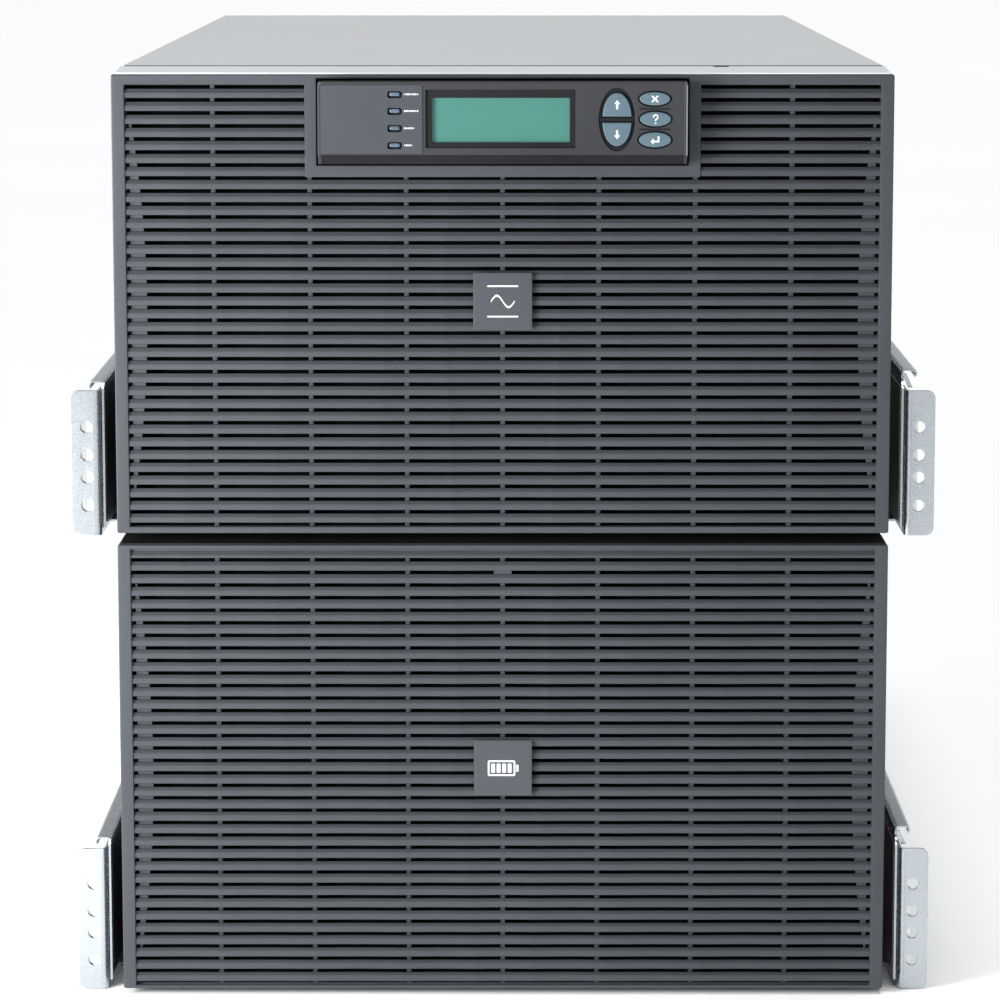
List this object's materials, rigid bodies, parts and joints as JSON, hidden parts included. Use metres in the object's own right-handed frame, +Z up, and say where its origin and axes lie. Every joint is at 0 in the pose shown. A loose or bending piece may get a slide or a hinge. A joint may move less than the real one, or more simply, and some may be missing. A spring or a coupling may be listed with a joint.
{
  "type": "rackmount ups",
  "caption": "Rack-mounted uninterruptible power supply stacked on its battery pack, with slatted dark bezels, a green display module and zinc-plated support rails.",
  "frame": {"origin": "middle of the footprint, on the underside of the lower rails' ledges", "axes": "+Z up, +Y from the front to the rear, +X to the right for someone facing the front"},
  "size_m": [0.4826, 0.8024, 0.5236],
  "materials": {
    "cover_paint": "light grey powder coat, satin",
    "chassis_steel": "zinc-plated sheet",
    "bezel_plastic": "dark grey moulded, fine texture",
    "display_plastic": "near-black moulded, speckled texture",
    "faceplate": "dark grey insert, satin",
    "badge": "dark grey plate, semi-gloss",
    "lcd": "teal green liquid-crystal window",
    "light_pipe": "smoked blue-grey lens",
    "key_plastic": "blue-grey key caps",
    "circuit_board": "green solder mask",
    "fan_plastic": "black moulded",
    "heatsink": "extruded, plain",
    "capacitor": "dark blue sleeve",
    "winding": "lacquered copper winding",
    "switch_plastic": "black moulded",
    "terminal": "dark grey moulded",
    "connector": "dark grey moulded",
    "zinc_rail": "zinc-plated, bluish bright",
    "battery_case": "black battery case"
  },
  "bodies": {
    "ups": {"ups_top_cover": "cover_paint", "pack_top_cover": "cover_paint", "ups_rear_panel": "cover_paint", "pack_rear_panel": "cover_paint", "terminal_cover": "cover_paint", "ups_chassis_tray": "chassis_steel", "pack_chassis_tray": "chassis_steel", "ups_front_frame": "chassis_steel", "pack_shelf": "chassis_steel", "power_board": "circuit_board", "control_board": "circuit_board", "fan_frame_1": "fan_plastic", "fan_frame_2": "fan_plastic", "fan_frame_3": "fan_plastic", "heatsink_left": "heatsink", "heatsink_right": "heatsink", "capacitor_bank": "capacitor", "input_choke": "winding", "output_choke": "winding", "input_breaker_body": "switch_plastic", "pack_breaker_body": "switch_plastic", "bypass_switch_body": "switch_plastic", "terminal_block": "terminal", "battery_inlet": "connector", "battery_outlet": "connector", "rail_front_left_upper": "zinc_rail", "rail_front_right_upper": "zinc_rail", "rail_front_left_lower": "zinc_rail", "rail_front_right_lower": "zinc_rail"},
    "upper_bezel": {"upper_bezel": "bezel_plastic", "upper_badge": "badge"},
    "lower_bezel": {"lower_bezel": "bezel_plastic", "lower_badge": "badge"},
    "display": {"display_housing": "display_plastic", "display_faceplate": "faceplate", "lcd_window": "lcd", "led_light_pipe": "light_pipe", "display_board": "circuit_board"},
    "key_up": {"key_up": "key_plastic"},
    "key_down": {"key_down": "key_plastic"},
    "key_escape": {"key_escape": "key_plastic"},
    "key_help": {"key_help": "key_plastic"},
    "key_enter": {"key_enter": "key_plastic"},
    "fan_rotor_1": {"fan_rotor_1": "fan_plastic"},
    "fan_rotor_2": {"fan_rotor_2": "fan_plastic"},
    "fan_rotor_3": {"fan_rotor_3": "fan_plastic"},
    "battery_module_1": {"battery_module_1": "battery_case"},
    "battery_module_2": {"battery_module_2": "battery_case"},
    "battery_module_3": {"battery_module_3": "battery_case"},
    "battery_module_4": {"battery_module_4": "battery_case"},
    "rail_rear_left_upper": {"rail_rear_left_upper": "zinc_rail"},
    "rail_rear_right_upper": {"rail_rear_right_upper": "zinc_rail"},
    "rail_rear_left_lower": {"rail_rear_left_lower": "zinc_rail"},
    "rail_rear_right_lower": {"rail_rear_right_lower": "zinc_rail"},
    "network_card": {"network_card": "circuit_board"},
    "input_breaker_toggle": {"input_breaker_toggle": "switch_plastic"},
    "pack_breaker_toggle": {"pack_breaker_toggle": "switch_plastic"},
    "bypass_knob": {"bypass_knob": "switch_plastic"}
  },
  "joints": [
    {"name": "upper_bezel_pull", "type": "slide", "parent": "ups", "child": "upper_bezel", "axis": [0, -1, 0], "range_m": [0, 0.08]},
    {"name": "lower_bezel_pull", "type": "slide", "parent": "ups", "child": "lower_bezel", "axis": [0, -1, 0], "range_m": [0, 0.4]},
    {"name": "display_pull", "type": "slide", "parent": "ups", "child": "display", "axis": [0, -1, 0], "range_m": [0, 0.04]},
    {"name": "key_up_press", "type": "slide", "parent": "display", "child": "key_up", "axis": [0, 1, 0], "range_m": [0, 0.001], "stiffness_N_per_m": 400},
    {"name": "key_down_press", "type": "slide", "parent": "display", "child": "key_down", "axis": [0, 1, 0], "range_m": [0, 0.001], "stiffness_N_per_m": 400},
    {"name": "key_escape_press", "type": "slide", "parent": "display", "child": "key_escape", "axis": [0, 1, 0], "range_m": [0, 0.001], "stiffness_N_per_m": 400},
    {"name": "key_help_press", "type": "slide", "parent": "display", "child": "key_help", "axis": [0, 1, 0], "range_m": [0, 0.001], "stiffness_N_per_m": 400},
    {"name": "key_enter_press", "type": "slide", "parent": "display", "child": "key_enter", "axis": [0, 1, 0], "range_m": [0, 0.001], "stiffness_N_per_m": 400},
    {"name": "fan_spin_1", "type": "hinge", "parent": "ups", "child": "fan_rotor_1", "pos_m": [-0.129, -0.331, 0.3818], "axis": [0, 1, 0], "continuous": true},
    {"name": "fan_spin_2", "type": "hinge", "parent": "ups", "child": "fan_rotor_2", "pos_m": [0, -0.331, 0.3818], "axis": [0, 1, 0], "continuous": true},
    {"name": "fan_spin_3", "type": "hinge", "parent": "ups", "child": "fan_rotor_3", "pos_m": [0.129, -0.331, 0.3818], "axis": [0, 1, 0], "continuous": true},
    {"name": "battery_module_1_draw", "type": "slide", "parent": "ups", "child": "battery_module_1", "axis": [0, -1, 0], "range_m": [0, 0.24]},
    {"name": "battery_module_2_draw", "type": "slide", "parent": "ups", "child": "battery_module_2", "axis": [0, -1, 0], "range_m": [0, 0.24]},
    {"name": "battery_module_3_draw", "type": "slide", "parent": "ups", "child": "battery_module_3", "axis": [0, -1, 0], "range_m": [0, 0.24]},
    {"name": "battery_module_4_draw", "type": "slide", "parent": "ups", "child": "battery_module_4", "axis": [0, -1, 0], "range_m": [0, 0.24]},
    {"name": "rail_extend_left_upper", "type": "slide", "parent": "ups", "child": "rail_rear_left_upper", "axis": [0, 1, 0], "range_m": [0, 0.12]},
    {"name": "rail_extend_right_upper", "type": "slide", "parent": "ups", "child": "rail_rear_right_upper", "axis": [0, 1, 0], "range_m": [0, 0.12]},
    {"name": "rail_extend_left_lower", "type": "slide", "parent": "ups", "child": "rail_rear_left_lower", "axis": [0, 1, 0], "range_m": [0, 0.12]},
    {"name": "rail_extend_right_lower", "type": "slide", "parent": "ups", "child": "rail_rear_right_lower", "axis": [0, 1, 0], "range_m": [0, 0.12]},
    {"name": "network_card_pull", "type": "slide", "parent": "ups", "child": "network_card", "axis": [0, 1, 0], "range_m": [0, 0.16]},
    {"name": "input_breaker_throw", "type": "hinge", "parent": "ups", "child": "input_breaker_toggle", "pos_m": [0.1175, 0.3805, 0.4063], "axis": [1, 0, 0], "range_deg": [-40, 0]},
    {"name": "pack_breaker_throw", "type": "hinge", "parent": "ups", "child": "pack_breaker_toggle", "pos_m": [0.0675, 0.3805, 0.2163], "axis": [1, 0, 0], "range_deg": [-40, 0]},
    {"name": "bypass_turn", "type": "hinge", "parent": "ups", "child": "bypass_knob", "pos_m": [0.038, 0.3885, 0.4088], "axis": [0, 1, 0], "range_deg": [0, 90]}
  ],
  "couplings": [
    {"joint": "battery_module_1_draw", "follows": "lower_bezel_pull", "ratio": 0.6},
    {"joint": "battery_module_2_draw", "follows": "lower_bezel_pull", "ratio": 0.6},
    {"joint": "battery_module_3_draw", "follows": "lower_bezel_pull", "ratio": 0.6},
    {"joint": "battery_module_4_draw", "follows": "lower_bezel_pull", "ratio": 0.6}
  ]
}
